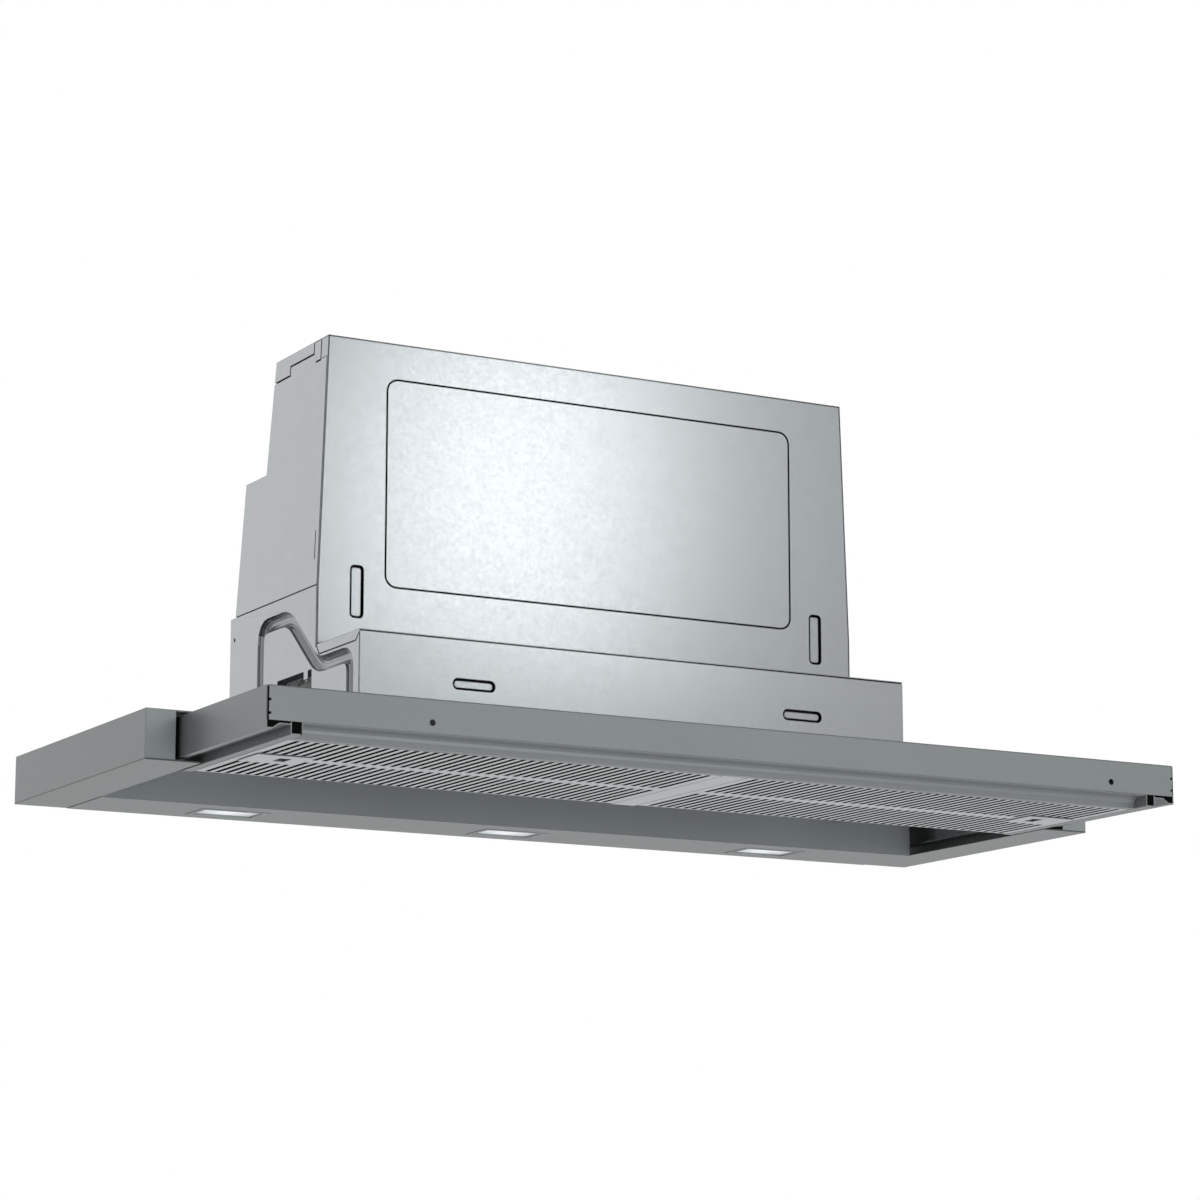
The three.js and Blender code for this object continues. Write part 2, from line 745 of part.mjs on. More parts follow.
const floorZ = frameHeight + seat;
const wallX = -housingHalf;      // outer face of the left side sheets, below the seam
const taper = (housingHalf - topHalf) / (housingTop - seamHeight);
const rearSlope = (stepOuter - towerRear) / (stepHeight - seamHeight);
const stepSlope = (stepTop - stepInner) / (housingTop - stepHeight);
const sheet = housingSheet;

// Leans a left-hand sheet inwards above the seam, with the housing's side.
function lean(body) {
  return moved(body, (point) => {
    point.x += Math.max(point.z - seamHeight, 0) * taper;
  });
}

// Half-width inside the side sheets at a height above the seam.
const insideAt = (z) => housingHalf - sheet - seat - (z - seamHeight) * taper;

// Distance of the tower's sloping back from the wall at a height above the seam.
const backAt = (z) => towerRear + (z - seamHeight) * rearSlope;

// Pocket pressed into a front sheet at y: a cup whose middle stands up again inside a groove.
function pressPocket(body, pocket, y) {
  const { x, z, width, height, radius } = pocket;
  const outline = (grow) =>
    roundedShape(x, z, width + 2 * grow, height + 2 * grow, Math.max(radius + grow, sheet));
  const rear = y + moatDepth + sheet;
  const groove = carve(
    alongY(outline(0), y - cut, y + moatDepth), alongY(outline(-moatWidth), y - cut, rear));
  return carve(
    join(body, alongY(outline(sheet), y, rear)), groove,
    alongY(outline(-moatWidth), y - cut, y + pocketDepth),
    alongY(outline(-moatWidth - sheet), y + pocketDepth + sheet, rear + cut));
}

// Front of the lower box: front sheet, the ledge on top of it and the ledge's side flanges.
const boxY = -boxFront;
const ledgeEnd = -towerFront - seat;
const flangeFront = 8.5;         // the flange starts this far behind the front, cut at a slant
const flangeRear = 6;

function boxFrontSheet() {
  const fold = boxTop - sheet - seam - sheet / 2;
  const front = strip([
    [boxY + sheet / 2, floorZ], [boxY + sheet / 2, fold], [boxY + 2.5 * sheet, fold],
    [boxY + 2.5 * sheet, boxTop - sheet / 2],
  ], sheet);
  const ledge = block(wallX, -wallX, boxY, ledgeEnd, boxTop - sheet, boxTop);
  const flange = alongX([
    [boxY, boxTop], [boxY + flangeFront, boxTop - ledgeFlange],
    [ledgeEnd - flangeRear, boxTop - ledgeFlange], [ledgeEnd, boxTop],
  ], wallX, wallX + sheet);
  const whole = join(alongX(front, wallX, -wallX), ledge, flange, mirror(flange));
  return [-1, 1].reduce(
    (body, side) => pressPocket(body, { ...longPocket, x: side * longPocket.x }, boxY), whole);
}

// Lower side sheet, with the channel that is pressed into it and the window for the wiring.
function lowerSide() {
  const front = boxY + sheet + seam;
  const under = boxTop - ledgeFlange - seam;
  const plate = alongX([
    [front, floorZ], [-lowerRear, floorZ], [-lowerRear, seamHeight],
    [-towerFront + sheet + seam, seamHeight],
    [-towerFront + sheet + seam, boxTop - sheet - seam], [ledgeEnd - 0.1, boxTop - sheet - seam],
    [ledgeEnd - flangeRear + 1, under], [boxY + flangeFront - 1, under],
    [front, under + ledgeFlange - 2],
  ], wallX, wallX + sheet);
  const path = rounded(swagePath, swageBend, 4);
  const room = ovalBar(path, wallX, swageWidth / 2, swageDepth);
  const back = ovalBar(path, wallX, swageWidth / 2 + sheet, swageDepth + sheet);
  const tabFront = -windowFront + windowTab.front;
  const window = carve(
    block(
      wallX - cut, wallX + swageDepth + cut, -windowFront, -windowRear, windowBottom, windowTop),
    block(
      wallX, wallX + sheet, tabFront, tabFront + windowTab.width,
      windowTop - windowTab.height, windowTop + cut));
  const limit = block(
    wallX, wallX + swageDepth + 2 * sheet, front, -lowerRear, floorZ, seamHeight);
  const hole = rod('x', -sideHole.back, sideHole.z, wallX - cut, wallX + cut, sideHole.radius, 12);
  return carve(join(plate, back.intersect(limit)), room, window, hole);
}

// Back of the lower box, with the shelf up to the tower's back.
function lowerBack() {
  const section = strip([
    [-lowerRear - sheet / 2, floorZ], [-lowerRear - sheet / 2, seamHeight - sheet / 2],
    [-towerRear - 6, seamHeight - sheet / 2],
  ], sheet);
  const inner = housingHalf - sheet - seat;
  return alongX(section, -inner, inner);
}

// Tall front with its large pressed panel, two pockets and an ear at each upper corner.
const earDepth = 13;
const earBottom = housingTop - lidFlangeDeep;

// Ring along the edge of the pressed panel, with a margin on both sides of the groove.
function panelRing(margin, y0, y1) {
  const middle = (panelTop + panelBottom) / 2;
  const outline = (grow) => roundedShape(
    0, middle, panelWidth + 2 * grow, panelTop - panelBottom + 2 * grow, panelRadius + grow);
  return carve(
    alongY(outline(margin), y0, y1), alongY(outline(-panelGroove - margin), y0 - cut, y1 + cut));
}

function towerFrontSheet() {
  const y = -towerFront;
  const face = alongY([
    [-housingHalf, boxTop + seam], [housingHalf, boxTop + seam], [housingHalf, seamHeight],
    [topHalf, housingTop], [-topHalf, housingTop], [-housingHalf, seamHeight],
  ], y, y + sheet);
  const ear = lean(block(
    wallX, wallX + sheet, y, y + earDepth, earBottom, housingTop - sheet - seat));
  const rib = panelRing(sheet, y, y + panelGrooveDepth + sheet);
  const groove = panelRing(0, y - cut, y + panelGrooveDepth);
  const whole = carve(join(face, ear, mirror(ear), rib), groove);
  return [-1, 1].reduce(
    (body, side) => pressPocket(body, { ...tallPocket, x: side * tallPocket.x }, y), whole);
}

// Sloping side of the tower, stepped at the back, notched round the ear and the lid's flange.
const slitInset = 6;             // a lanced tab near the front edge of the tower's side
const slitBottom = 197;
const slitTop = 221;
const lidFront = -167;
const lidStep = -119;
const stepBackAt = (z) => -stepInner - (z - stepHeight) * stepSlope;

function towerSide() {
  const front = -towerFront + sheet + seam;
  const top = housingTop - sheet - seat;
  const ear = -towerFront + earDepth + lidJoint;
  const lid = housingTop - lidFlange - lidJoint;
  const deep = housingTop - lidFlangeDeep - lidJoint;
  const hook = block(
    wallX - cut, wallX + cut, ear - cut, ear + earHook, earBottom - lidJoint, earBottom);
  const slit = block(
    wallX - cut, wallX + cut, front + slitInset, front + slitInset + 1.2, slitBottom, slitTop);
  const plate = alongX([
    [front, seamHeight + seam], [front, earBottom - seat], [ear, earBottom - seat], [ear, top],
    [lidFront - lidJoint, top], [lidFront - lidJoint, lid], [lidStep - lidJoint, lid],
    [lidStep - lidJoint, deep],
    [stepBackAt(deep), deep], [-stepInner, stepHeight], [-stepOuter, stepHeight],
    [-towerRear, seamHeight + seam],
  ], wallX, wallX + sheet);
  return lean(carve(plate, slit, hook));
}

// Lid: top sheet with the outlet hole and a flange over each side.
const topZ = housingTop - sheet;

function lid() {
  const front = -towerFront + sheet + seat;
  const deep = housingTop - lidFlangeDeep;
  const rear = -backAt(housingTop);
  const plate = alongZ([
    [-topHalf, front], [topHalf, front], [topHalf, stepBackAt(housingTop)],
    [stepHalf, stepBackAt(housingTop)], [stepHalf, rear], [-stepHalf, rear],
    [-stepHalf, stepBackAt(housingTop)], [-topHalf, stepBackAt(housingTop)],
  ], topZ, housingTop);
  const flange = lean(alongX([
    [lidFront, housingTop - lidFlange], [lidStep, housingTop - lidFlange], [lidStep, deep],
    [stepBackAt(deep) - seat, deep], [stepBackAt(housingTop), housingTop], [lidFront, housingTop],
  ], wallX, wallX + sheet));
  const hole = rod('z', 0, ductY, topZ - cut, housingTop + cut, ductRadius + seat, 48);
  return carve(join(plate, flange, mirror(flange)), hole);
}

// Back of the tower: full width up to the step, and its middle up to the lid.
function towerBack() {
  const low = insideAt(seamHeight);
  const high = insideAt(stepHeight);
  const shoulder = stepHeight - sheet - seat;
  const middle = stepHalf - sheet - seat;
  const flat = alongY([
    [-low, seamHeight + seat], [low, seamHeight + seat], [high, shoulder], [middle, shoulder],
    [middle, topZ - seat], [-middle, topZ - seat], [-middle, shoulder], [-high, shoulder],
  ], -towerRear - sheet, -towerRear);
  return moved(flat, (point) => { point.y -= (point.z - seamHeight) * rearSlope; });
}

// Stepped corner: shelf, the wall towards the middle and the wall towards the cook.
function cornerStep() {
  const top = topZ - seat;
  const outer = -insideAt(stepHeight);
  const shelf = block(
    outer, -stepHalf + sheet, -stepInner - sheet, -stepOuter, stepHeight - sheet, stepHeight);
  const inner = alongX([
    [-stepInner - sheet, stepHeight - sheet], [-backAt(stepHeight), stepHeight - sheet],
    [-backAt(top), top], [stepBackAt(top) - sheet, top],
  ], -stepHalf, -stepHalf + sheet);
  const back = alongX([
    [-stepInner - sheet, stepHeight - sheet], [-stepInner, stepHeight - sheet],
    [stepBackAt(top), top], [stepBackAt(top) - sheet, top],
  ], -insideAt(top), -stepHalf + sheet);
  return join(shelf, inner, back);
}

const glandHole = rod(
  'z', glandX, glandY, stepHeight - 2 * cut, stepHeight + cut, glandNeck + seat, 20);

add('box_front', boxFrontSheet(), zinc);
addPair('lower_side', lowerSide(), zinc);
add('lower_back', lowerBack(), zinc);
add('tower_front', towerFrontSheet(), zinc);
addPair('tower_side', towerSide(), zinc);
add('tower_back', towerBack(), zinc);
add('corner_step_left', cornerStep(), zinc);
add('corner_step_right', carve(mirror(cornerStep()), glandHole), zinc);
add('lid', lid(), zinc);

// ---------------------------------------------------------------- outlet

const collarFloor = housingTop - ductHeight;
const plateThickness = 1.5;
const mouthHalf = scrollX + scrollEnd - scrollWall;
const spindleZ = collarFloor + plateThickness + 6;
const boreRadius = ductRadius - ductWall;

// Collar for the duct, flush with the lid. Its floor is open over the blower's outlet, and a
// spindle across it carries the two flaps.
function collar() {
  const tube = carve(
    rod('z', 0, ductY, collarFloor, housingTop, ductRadius, 48),
    rod('z', 0, ductY, collarFloor + plateThickness, housingTop + cut, boreRadius, 48),
    block(-mouthHalf, mouthHalf, ductY - scrollDepth / 2, ductY + scrollDepth / 2,
      collarFloor - cut, collarFloor + plateThickness + cut));
  const spindle = rod(
    'y', 0, spindleZ, ductY - boreRadius - 1, ductY + boreRadius + 1, spindleRadius, 12);
  return join(tube, spindle);
}

// Half-round flap on the left of the spindle. Its knuckle lies on the spindle's front half.
function flap() {
  const leaf = carve(
    rod('z', 0, ductY, spindleZ - flapThickness / 2, spindleZ + flapThickness / 2,
      boreRadius - flapGap, 32),
    block(-knuckle - flapGap, boreRadius, ductY - boreRadius, ductY + boreRadius,
      spindleZ - cut, spindleZ + cut));
  const arm = block(
    -knuckle - 2 * flapGap, 0, ductY - flapArm - knuckleLength, ductY - flapArm,
    spindleZ - flapThickness / 2, spindleZ + flapThickness / 2);
  const barrel = rod(
    'y', 0, spindleZ, ductY - flapArm - knuckleLength, ductY - flapArm, knuckle, 16);
  const bore = rod(
    'y', 0, spindleZ, ductY - boreRadius, ductY, spindleRadius + shaftClear, 16);
  return carve(join(leaf, arm, barrel), bore);
}

// The other flap is the first one turned half round about the duct's axis.
function turned(body) {
  return moved(body, (point) => {
    point.x = -point.x;
    point.y = 2 * ductY - point.y;
  });
}

add('outlet_collar', collar(), blackPlastic);
add('outlet_flap_left', flap(), greyPlastic);
add('outlet_flap_right', turned(flap()), greyPlastic);

// ---------------------------------------------------------------- blower

const scrollTop = collarFloor - seat;
const scrollFront = ductY - scrollDepth / 2;
const scrollRear = ductY + scrollDepth / 2;
const turn = Math.PI / 180;

// Centre line of the scroll's wall: down from the outlet, round the wheel, and back up.
function scrollLine() {
  const line = [[scrollX + scrollEnd, scrollTop]];
  const steps = 20;
  for (let i = 0; i <= steps; i++) {
    const share = 1 - i / steps;
    const angle = (tongueAngle + (360 - tongueAngle) * share) * turn;
    const radius = scrollStart + (scrollEnd - scrollStart) * share;
    line.push([scrollX + radius * Math.cos(angle), scrollZ + radius * Math.sin(angle)]);
  }
  line.push([-scrollX - scrollEnd, scrollTop - 5], [-scrollX - scrollEnd, scrollTop]);
  return line;
}

// Wheel opening in a cheek of the scroll.
const inlet = () => rod('y', scrollX, scrollZ, scrollFront - cut, scrollRear + cut, inletRadius, 40);

// Scroll: wall, rear cheek and the foot that stands on the beam.
function scrollShell() {
  const wall = alongY(strip(scrollLine(), scrollWall), scrollFront + scrollWall + seat, scrollRear);
  const cheek = alongY(scrollLine(), scrollRear - scrollWall, scrollRear);
  const foot = block(
    scrollX - 20, scrollX + 20, ductY - 15, ductY + 15, beamZ + beamSheet + seat,
    scrollZ - scrollStart - (scrollEnd - scrollStart) * 0.66);
  const inside = alongY(scrollLine(), scrollFront, scrollRear - scrollWall);
  return carve(join(wall, cheek, carve(foot, inside)), inlet());
}

function scrollCheek() {
  const cheek = alongY(scrollLine(), scrollFront, scrollFront + scrollWall);
  return carve(cheek, inlet());
}

// Double-inlet wheel: a disc in the middle, a ring at each end and the blades between them.
function wheel() {
  const [y0, y1] = [ductY - wheelWidth / 2, ductY + wheelWidth / 2];
  const ring = (y) => carve(
    rod('y', scrollX, scrollZ, y, y + 2, wheelRadius, 36),
    rod('y', scrollX, scrollZ, y - cut, y + 2 + cut, wheelInner, 36));
  const disc = rod('y', scrollX, scrollZ, ductY - 1, ductY + 1, wheelRadius - 1, 36);
  const hub = rod('y', scrollX, scrollZ, ductY - hubLength / 2, ductY + hubLength / 2, hubRadius, 20);
  const blades = Array.from({ length: bladeCount }, (_, i) => {
    const angle = (i / bladeCount) * 2 * Math.PI;
    const blade = new THREE.BoxGeometry(wheelRadius - wheelInner - 1, y1 - y0 - 2, bladeSheet);
    blade.rotateY(bladeLean * turn).translate((wheelRadius + wheelInner) / 2, 0, 0);
    blade.rotateY(angle).translate(scrollX, ductY, scrollZ);
    return solid(blade);
  });
  const bore = rod(
    'y', scrollX, scrollZ, ductY - hubLength, ductY + hubLength, shaftRadius + seat / 2, 20);
  return carve(join(ring(y0), ring(y1 - 2), disc, hub, ...blades), bore);
}

const motorFront = scrollFront;
const motorRear = motorFront + motorLength;

function motor() {
  const can = rod('y', scrollX, scrollZ, motorFront, motorRear, motorRadius, 32);
  const boss = rod('y', scrollX, scrollZ, motorRear - cut, motorRear + 3, hubRadius, 20);
  const bore = rod(
    'y', scrollX, scrollZ, motorRear - shaftDepth - cut, motorRear + 3 + cut,
    shaftRadius + shaftClear, 20);
  return carve(join(can, boss), bore);
}

function shaft() {
  return rod(
    'y', scrollX, scrollZ, motorRear - shaftDepth + seat, ductY + hubLength / 2 + 4, shaftRadius, 20);
}

// Three arms that carry the motor across the front opening of the scroll.
function motorBracket() {
  const y1 = scrollFront - seat;
  const y0 = y1 - bracketSheet;
  const plate = rod('y', scrollX, scrollZ, y0, y1, motorRadius - 6, 24);
  const arms = [0, 1, 2].map((i) => {
    const arm = new THREE.BoxGeometry(inletRadius + 12, y1 - y0, 14);
    arm.translate((inletRadius + 12) / 2, 0, 0).rotateY((30 + i * 120) * turn);
    return solid(arm.translate(scrollX, (y0 + y1) / 2, scrollZ));
  });
  return join(plate, ...arms);
}

// Beam across the housing that the scroll stands on.
function blowerBeam() {
  const inner = housingHalf - sheet - seat;
  const middle = beamZ + beamSheet / 2;
  const section = strip([
    [ductY - beamHalf, middle - beamFlange], [ductY - beamHalf, middle],
    [ductY + beamHalf, middle], [ductY + beamHalf, middle - beamFlange],
  ], beamSheet);
  return alongX(section, -inner, inner);
}

add('scroll_shell', scrollShell(), greyPlastic);
add('scroll_cheek', scrollCheek(), greyPlastic);
add('fan_wheel', wheel(), blackPlastic);
add('motor', motor(), steel);
add('motor_shaft', shaft(), steel);
add('motor_bracket', motorBracket(), steel);
add('blower_beam', blowerBeam(), zinc);

// ---------------------------------------------------------------- electrical parts

// Control box behind the tower's front, beside the scroll.
function controls() {
  const { x, z, width, depth, height } = controlBox;
  const y = -towerFront + sheet + seat;
  return block(x, x + width, y, y + depth, z, z + height);
}

// Gland for the mains lead on the right-hand corner shelf.
function mainsGland() {
  const top = stepHeight + glandHeight;
  const nut = rod('z', glandX, glandY, stepHeight + seat, top, glandRadius, 6);
  const neck = rod('z', glandX, glandY, stepHeight - 8, stepHeight + cut, glandNeck, 20);
  const bore = rod('z', glandX, glandY, stepHeight - 8 - cut, top + cut, leadRadius, 16);
  return carve(join(nut, neck), bore);
}

// Terminal block behind the window in the left side sheet.
function terminalBlock() {
  const x = wallX + sheet + seat;
  const rear = -windowRear - 4;
  return join(
    block(x, x + terminalDepth, -windowFront + 3, rear, windowBottom - 4, windowTop - 10),
    block(x + 6, x + terminalDepth, -windowFront + 3, rear, windowBottom, windowTop - 3));
}

// Switch under the top plate. A tab on the closed drawer stands right under its sprung plunger.
const switchY = -lampDepth - trayGap - switchReach;

function drawerSwitch() {
  const body = block(
    switchX - 12, switchX + 12, switchY - 7, switchY + 7,
    switchFloor, frameHeight - frameSheet - seat);
  const bore = rod(
    'z', switchX, switchY, switchFloor - cut, switchFloor + 5, plungerRadius + shaftClear, 16);
  return carve(body, bore);
}

function plunger() {
  return rod(
    'z', switchX, switchY, plungerTip, switchFloor + 5 - plungerStroke - 2 * seat,
    plungerRadius, 16);
}

add('control_box', controls(), blackPlastic);
add('mains_gland', mainsGland(), blackPlastic);
add('terminal_block', terminalBlock(), blackPlastic);
add('drawer_switch', drawerSwitch(), blackPlastic);
add('switch_plunger', plunger(), greyPlastic);

// ---------------------------------------------------------------- origin

// The origin goes to the middle of the space covered, at the lowest faces.
hood.position.y = (frameDepth + travel) / 2;
hood.updateMatrixWorld(true);

export default hood;
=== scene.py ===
# The pull-out range hood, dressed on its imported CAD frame. Metres, +Z up, -Y towards the cook.
import json
import math

import bmesh
import bpy
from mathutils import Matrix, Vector


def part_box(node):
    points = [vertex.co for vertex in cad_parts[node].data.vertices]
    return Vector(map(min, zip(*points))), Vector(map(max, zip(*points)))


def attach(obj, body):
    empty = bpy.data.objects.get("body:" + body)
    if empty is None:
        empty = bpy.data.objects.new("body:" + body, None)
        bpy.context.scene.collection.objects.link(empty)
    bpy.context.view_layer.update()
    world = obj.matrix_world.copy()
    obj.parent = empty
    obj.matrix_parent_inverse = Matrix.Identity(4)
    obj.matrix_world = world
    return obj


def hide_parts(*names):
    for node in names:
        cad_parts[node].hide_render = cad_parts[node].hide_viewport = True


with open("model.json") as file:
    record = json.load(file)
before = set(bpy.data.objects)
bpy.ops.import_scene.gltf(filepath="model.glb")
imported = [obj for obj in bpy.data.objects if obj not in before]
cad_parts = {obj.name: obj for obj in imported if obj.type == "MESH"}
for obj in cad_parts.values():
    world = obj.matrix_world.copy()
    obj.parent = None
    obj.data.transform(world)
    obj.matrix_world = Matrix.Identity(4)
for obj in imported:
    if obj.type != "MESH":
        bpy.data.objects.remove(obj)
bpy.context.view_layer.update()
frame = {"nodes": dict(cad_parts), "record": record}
nodes = frame["nodes"]
scene = bpy.context.scene

# ---------------------------------------------------------------- camera

# The camera fitted to the photograph, in pixels and in millimetres of sensor.
PHOTO_WIDTH = 1200
FOCAL_LENGTH = 3643.7
SENSOR_WIDTH = 36

camera_data = bpy.data.cameras.new("camera")
camera_data.sensor_width = SENSOR_WIDTH
camera_data.lens = SENSOR_WIDTH * FOCAL_LENGTH / PHOTO_WIDTH
camera_data.clip_end = 50
camera = bpy.data.objects.new("camera", camera_data)
camera.location = (-1.4973, -2.6717, -0.4253)
azimuth, elevation = math.radians(29.08), math.radians(11.18)
gaze = Vector((
    math.sin(azimuth) * math.cos(elevation),
    math.cos(azimuth) * math.cos(elevation),
    math.sin(elevation)))
camera.rotation_mode = "QUATERNION"
camera.rotation_quaternion = gaze.to_track_quat("-Z", "Y")
scene.collection.objects.link(camera)
scene.camera = camera
scene.view_settings.view_transform = "Standard"

# ---------------------------------------------------------------- materials

# the tall front's half-width at its seam, the height of that seam, its lean and its top
FRONT_HALF, FRONT_SEAM, FRONT_LEAN, FRONT_TOP = 0.2622, 0.1733, 0.03245, 0.389
# the painted shade line along its folded sides, from where it fades out to where it is full, and
# the width of the one along its top
FRONT_SIDE_LINE, FRONT_TOP_LINE = (0.0016, 0.0010), 0.0011
# the top of the drawer's front and the width of the painted shade line under it
DRAWER_TOP, DRAWER_TOP_LINE = 0.037, 0.0004
# the width over which a painted shade line along a top fades out
LINE_BLUR = 0.0006
# the height under which the frame's sides and end caps have an edge of painted shade, and its
# fade
DARK_EDGE_TOP, DARK_EDGE_BLUR = 0.0023, 0.0004
# the rim of a filter's pan that counts as its outer wall and is kept free of the painted shade on
# the slots' edges, and the fade of that rim
PAN_WALL, PAN_WALL_BLUR = 0.001, 0.0002
# half the distance between two lamps
LAMP_PITCH_HALF = 0.135


def srgb(r, g, b):
    """An 8-bit screen colour as the linear colour that a shader takes."""
    return tuple(
        c / 12.92 if c <= 0.04045 else ((c + 0.055) / 1.055) ** 2.4
        for c in (r / 255, g / 255, b / 255))


class Finish:
    """A procedural material: one Principled shader with noise in its colour, gloss and relief."""

    def __init__(self, name, colour, roughness, metallic=0.0, **sockets):
        self.material = bpy.data.materials.new(name)
        self.material.use_nodes = True
        self.tree = self.material.node_tree
        self.shader = self.tree.nodes["Principled BSDF"]
        self.colour = colour
        self.roughness = roughness
        self.shader.inputs["Base Color"].default_value = (*colour, 1)
        self.shader.inputs["Roughness"].default_value = roughness
        self.shader.inputs["Metallic"].default_value = metallic
        for socket, value in sockets.items():
            self.shader.inputs[socket.replace("_", " ")].default_value = value
        self.place = self.tree.nodes.new("ShaderNodeTexCoord").outputs["Object"]

    def link(self, output, socket):
        self.tree.links.new(output, socket)

    def node(self, kind, **values):
        made = self.tree.nodes.new("ShaderNode" + kind)
        for name, value in values.items():
            if name in made.inputs:
                made.inputs[name].default_value = value
            else:
                setattr(made, name, value)
        return made

    def stretched(self, x, y, z):
        """The place in space, scaled unevenly, for grain that runs one way."""
        mapping = self.node("Mapping")
        mapping.inputs["Scale"].default_value = (x, y, z)
        self.link(self.place, mapping.inputs["Vector"])
        return mapping.outputs["Vector"]

    def noise(self, scale, detail=3.0, roughness=0.55, place=None):
        made = self.node("TexNoise", Scale=scale, Detail=detail, Roughness=roughness)
        self.link(place or self.place, made.inputs["Vector"])
        return made.outputs["Fac"]

    def cells(self, scale):
        """A random value for each irregular cell, as in the spangle of zinc."""
        made = self.node("TexVoronoi", Scale=scale, Randomness=1.0)
        self.link(self.place, made.inputs["Vector"])
        grey = self.node("RGBToBW")
        self.link(made.outputs["Color"], grey.inputs["Color"])
        return grey.outputs["Val"]

    def crease_shade(self, reach):
        """The mask for painted shade: 0 deep in a seam or corner and 1 in the open, judged within
        a reach in metres.
        """
        made = self.node("AmbientOcclusion", Distance=reach)
        made.samples = 8
        return made.outputs["AO"]

    def edge(self, radius):
        """The mask for painted shade along folds: 1 on a flat face, falling off within a radius
        of a fold or an edge.
        """
        rounded = self.node("Bevel", Radius=radius)
        rounded.samples = 6
        face = self.node("NewGeometry")
        match = self.node("VectorMath", operation="DOT_PRODUCT")
        self.link(rounded.outputs["Normal"], match.inputs[0])
        self.link(face.outputs["Normal"], match.inputs[1])
        return match.outputs["Value"]

    def facing(self, x, y, z):
        """How squarely a face looks along one of its piece's own directions: 1 along it, 0
        across, -1 away."""
        face = self.node("NewGeometry")
        own = self.node(
            "VectorTransform", vector_type="NORMAL", convert_from="WORLD", convert_to="OBJECT")
        self.link(face.outputs["True Normal"], own.inputs["Vector"])
        match = self.node("VectorMath", operation="DOT_PRODUCT")
        self.link(own.outputs["Vector"], match.inputs[0])
        match.inputs[1].default_value = (x, y, z)
        return match.outputs["Value"]

    def level(self):
        """1 on a face that lies flat and 0 on an upright one."""
        made = self.node("Math", operation="ABSOLUTE")
        self.link(self.facing(0, 0, 1), made.inputs[0])
        return made.outputs["Value"]

    def larger(self, one, other):
        made = self.node("Math", operation="MAXIMUM")
        self.link(one, made.inputs[0])
        self.link(other, made.inputs[1])
        return made.outputs["Value"]

    def lower_edge(self, height):
        """The mask for a painted shade edge: 0 on the upright faces below a height and 1
        everywhere else.
        """
        split = self.node("SeparateXYZ")
        self.link(self.place, split.inputs["Vector"])
        above = self.between(split.outputs["Z"], height - DARK_EDGE_BLUR, height, 0, 1)
        return self.larger(above, self.between(self.level(), 0.8, 0.95, 0, 1))

    def turned_away(self):
        """0 on the faces towards the cook and 1 on all the others."""
        return self.between(self.facing(0, -1, 0), 0.4, 0.8, 1, 0)

    def top_rim(self, height, width):
        """0 in a rim of that width under the top of the faces towards the cook, 1 elsewhere; it
        masks a painted shade line.
        """
        split = self.node("SeparateXYZ")
        self.link(self.place, split.inputs["Vector"])
        under = self.between(
            split.outputs["Z"], height - width - LINE_BLUR, height - width, 1, 0)
        return self.larger(under, self.turned_away())

    def rim(self, low, high, width):
        """1 in a rim of that width along the sides of a box and of its mirror image, seen from
        above, and 0 inside."""
        split = self.node("SeparateXYZ")
        self.link(self.place, split.inputs["Vector"])
        across = self.node("Math", operation="ABSOLUTE")
        self.link(split.outputs["X"], across.inputs[0])
        near = []
        for value, a, b in (
                (across.outputs["Value"], low.x, high.x), (split.outputs["Y"], low.y, high.y)):
            away = self.node("Math", operation="SUBTRACT")
            self.link(value, away.inputs[0])
            away.inputs[1].default_value = (a + b) / 2
            reach = self.node("Math", operation="ABSOLUTE")
            self.link(away.outputs["Value"], reach.inputs[0])
            half = (b - a) / 2
            inner = half - width
            near.append(
                self.between(reach.outputs["Value"], inner - PAN_WALL_BLUR, inner, 0, 1))
        return self.larger(*near)

    def between(self, value, low, high, a, b):
        made = self.node("MapRange")
        made.inputs["From Min"].default_value = low
        made.inputs["From Max"].default_value = high
        made.inputs["To Min"].default_value = a
        made.inputs["To Max"].default_value = b
        self.link(value, made.inputs["Value"])
        return made.outputs["Result"]

    def tint(self, *patterns):
        """Multiplies the colour by each pattern: (value, low, high, darkest, lightest)."""
        colour = None
        for pattern in patterns:
            shade = self.between(*pattern)
            mix = self.node("Mix", data_type="RGBA", blend_type="MULTIPLY")
            mix.inputs["Factor"].default_value = 1
            if colour is None:
                mix.inputs[6].default_value = (*self.colour, 1)
            else:
                self.link(colour, mix.inputs[6])
            self.link(shade, mix.inputs[7])
            colour = mix.outputs[2]
        self.link(colour, self.shader.inputs["Base Color"])
        return self

    def gloss(self, value, low, high, spread):
        """Lets the roughness wander by the spread on each side of its value."""
        rough = self.between(value, low, high, self.roughness - spread, self.roughness + spread)
        self.link(rough, self.shader.inputs["Roughness"])
        return self

    def relief(self, value, distance, strength=1.0):
        bump = self.node("Bump", Strength=strength, Distance=distance)
        self.link(value, bump.inputs["Height"])
        self.link(bump.outputs["Normal"], self.shader.inputs["Normal"])
        return self


